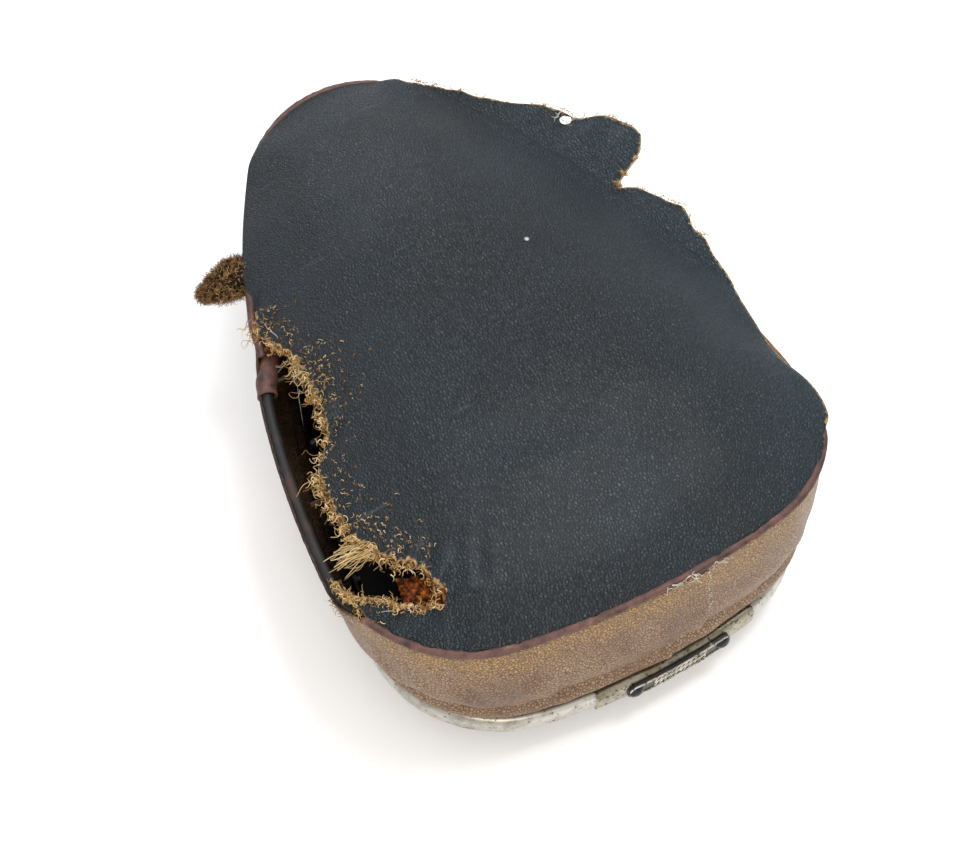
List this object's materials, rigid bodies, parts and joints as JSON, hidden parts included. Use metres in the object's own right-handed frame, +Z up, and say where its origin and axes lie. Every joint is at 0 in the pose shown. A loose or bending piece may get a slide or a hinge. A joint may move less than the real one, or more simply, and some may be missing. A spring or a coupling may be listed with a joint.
{
  "type": "sprung solo saddle",
  "caption": "Sprung solo saddle for a scooter or motorcycle: crowned leather top on coil springs, leather skirt and metal trim, tilting on a nose hinge.",
  "frame": {"origin": "middle of the bounding box, on the plane that the nose bracket and the rear buffers stand on", "axes": "+Z up, +Y towards the narrow nose, +X to the rider's right"},
  "size_m": [0.27, 0.3805, 0.1301],
  "materials": {
    "bracket_steel": "black paint, worn",
    "pan_enamel": "black stoving enamel with rust spots",
    "zinc_steel": "dull zinc plate",
    "spring_steel": "oiled dark wire with rust",
    "buffer_rubber": "matt moulded rubber",
    "trim_aluminium": "polished, dull and grimy along its edge",
    "sleeve_aluminium": "pitted and speckled",
    "badge_black": "black enamel with a bright raised rim",
    "rivet_black": "black japanned dome",
    "skirt_leather": "coarse-grained tan, scuffed",
    "cover_leather": "pebble-grained blue-black, soft sheen",
    "piping_leather": "smooth red-brown, cracked",
    "tie_twine": "tarred twine",
    "hessian_cloth": "open plain-weave jute",
    "coir_pad": "curled coir and hair",
    "cotton_wadding": "matted cotton felt"
  },
  "bodies": {
    "bracket": {"nose_bracket": "bracket_steel", "hinge_pin": "zinc_steel", "pin_washer": "zinc_steel", "split_pin": "zinc_steel"},
    "base": {"hinge_lugs": "pan_enamel", "lug_rivets": "zinc_steel", "rear_crossrail": "pan_enamel", "buffer_right": "buffer_rubber", "buffer_left": "buffer_rubber", "buffer_studs": "zinc_steel", "buffer_washers": "zinc_steel", "buffer_nuts": "zinc_steel", "seat_pan": "pan_enamel", "pan_band": "pan_enamel", "trim_moulding": "trim_aluminium", "trim_studs": "zinc_steel", "trim_nuts": "zinc_steel", "joint_sleeve": "sleeve_aluminium", "badge_plate": "badge_black", "badge_rivets": "rivet_black", "skirt": "skirt_leather", "spring_staples": "zinc_steel", "spring_1": "spring_steel", "spring_2": "spring_steel", "spring_3": "spring_steel", "spring_4": "spring_steel", "spring_5": "spring_steel", "spring_6": "spring_steel", "spring_7": "spring_steel", "spring_8": "spring_steel", "spring_9": "spring_steel"},
    "cushion": {"cross_wires": "spring_steel", "long_wires": "spring_steel", "edge_wire": "spring_steel", "spring_ties": "tie_twine", "hessian": "hessian_cloth", "hair_pad": "coir_pad", "wadding": "cotton_wadding", "top_cover": "cover_leather", "piping": "piping_leather"}
  },
  "joints": [
    {"name": "seat_tilt", "type": "hinge", "parent": "bracket", "child": "base", "pos_m": [0, 0.15995, 0.012], "axis": [-1, 0, 0], "range_deg": [0, 50]},
    {"name": "cushion_press", "type": "slide", "parent": "base", "child": "cushion", "axis": [0, 0, -1], "range_m": [0, 0.03], "stiffness_N_per_m": 12000, "springref_m": -0.004, "deforming": ["spring_1", "spring_2", "spring_3", "spring_4", "spring_5", "spring_6", "spring_7", "spring_8", "spring_9", "skirt"]}
  ]
}
